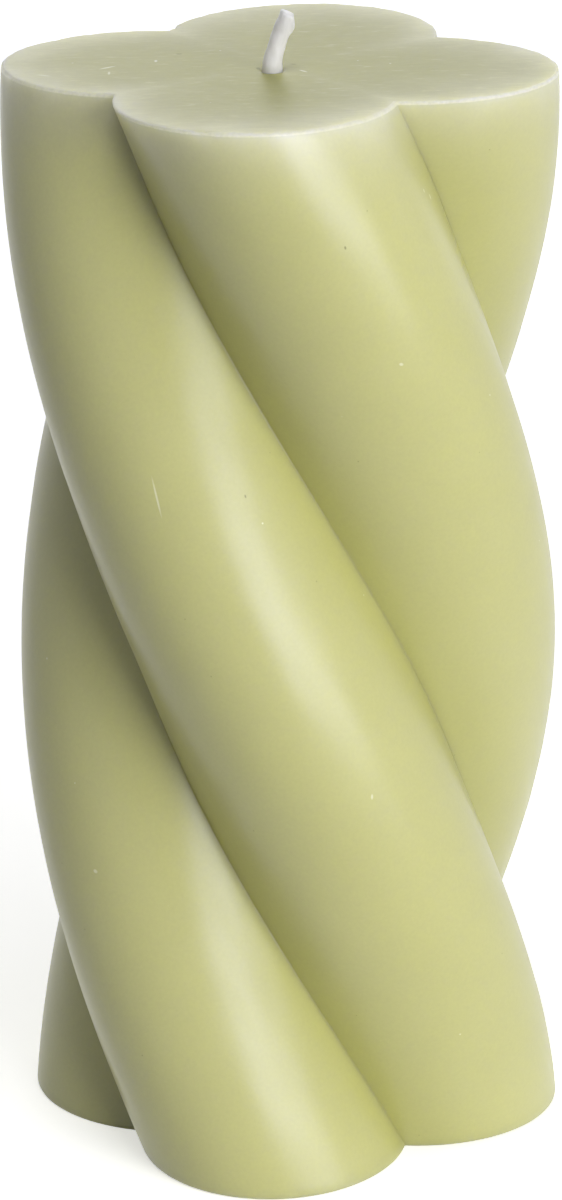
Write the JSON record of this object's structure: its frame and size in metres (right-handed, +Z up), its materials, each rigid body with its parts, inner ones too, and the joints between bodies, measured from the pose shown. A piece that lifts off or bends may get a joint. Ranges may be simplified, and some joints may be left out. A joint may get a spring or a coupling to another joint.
{
  "type": "spiral candle",
  "caption": "Free-standing pillar candle of thick round strands twisted together, with a flat top and base, a central waxed wick and a metal wick tab in the base.",
  "frame": {"origin": "middle of the base, on the plane that the candle stands on", "axes": "+Z up along the candle to the wick, -Y towards the front of the picture, +X to its right"},
  "size_m": [0.075, 0.075, 0.158],
  "materials": {
    "wax": null,
    "wick_cotton": "white braided cotton, primed with clear wax",
    "tab_steel": "pressed tinned steel sheet"
  },
  "bodies": {
    "root": {"wax_body": "wax", "wick": "wick_cotton", "wick_tab": "tab_steel"}
  },
  "joints": []
}
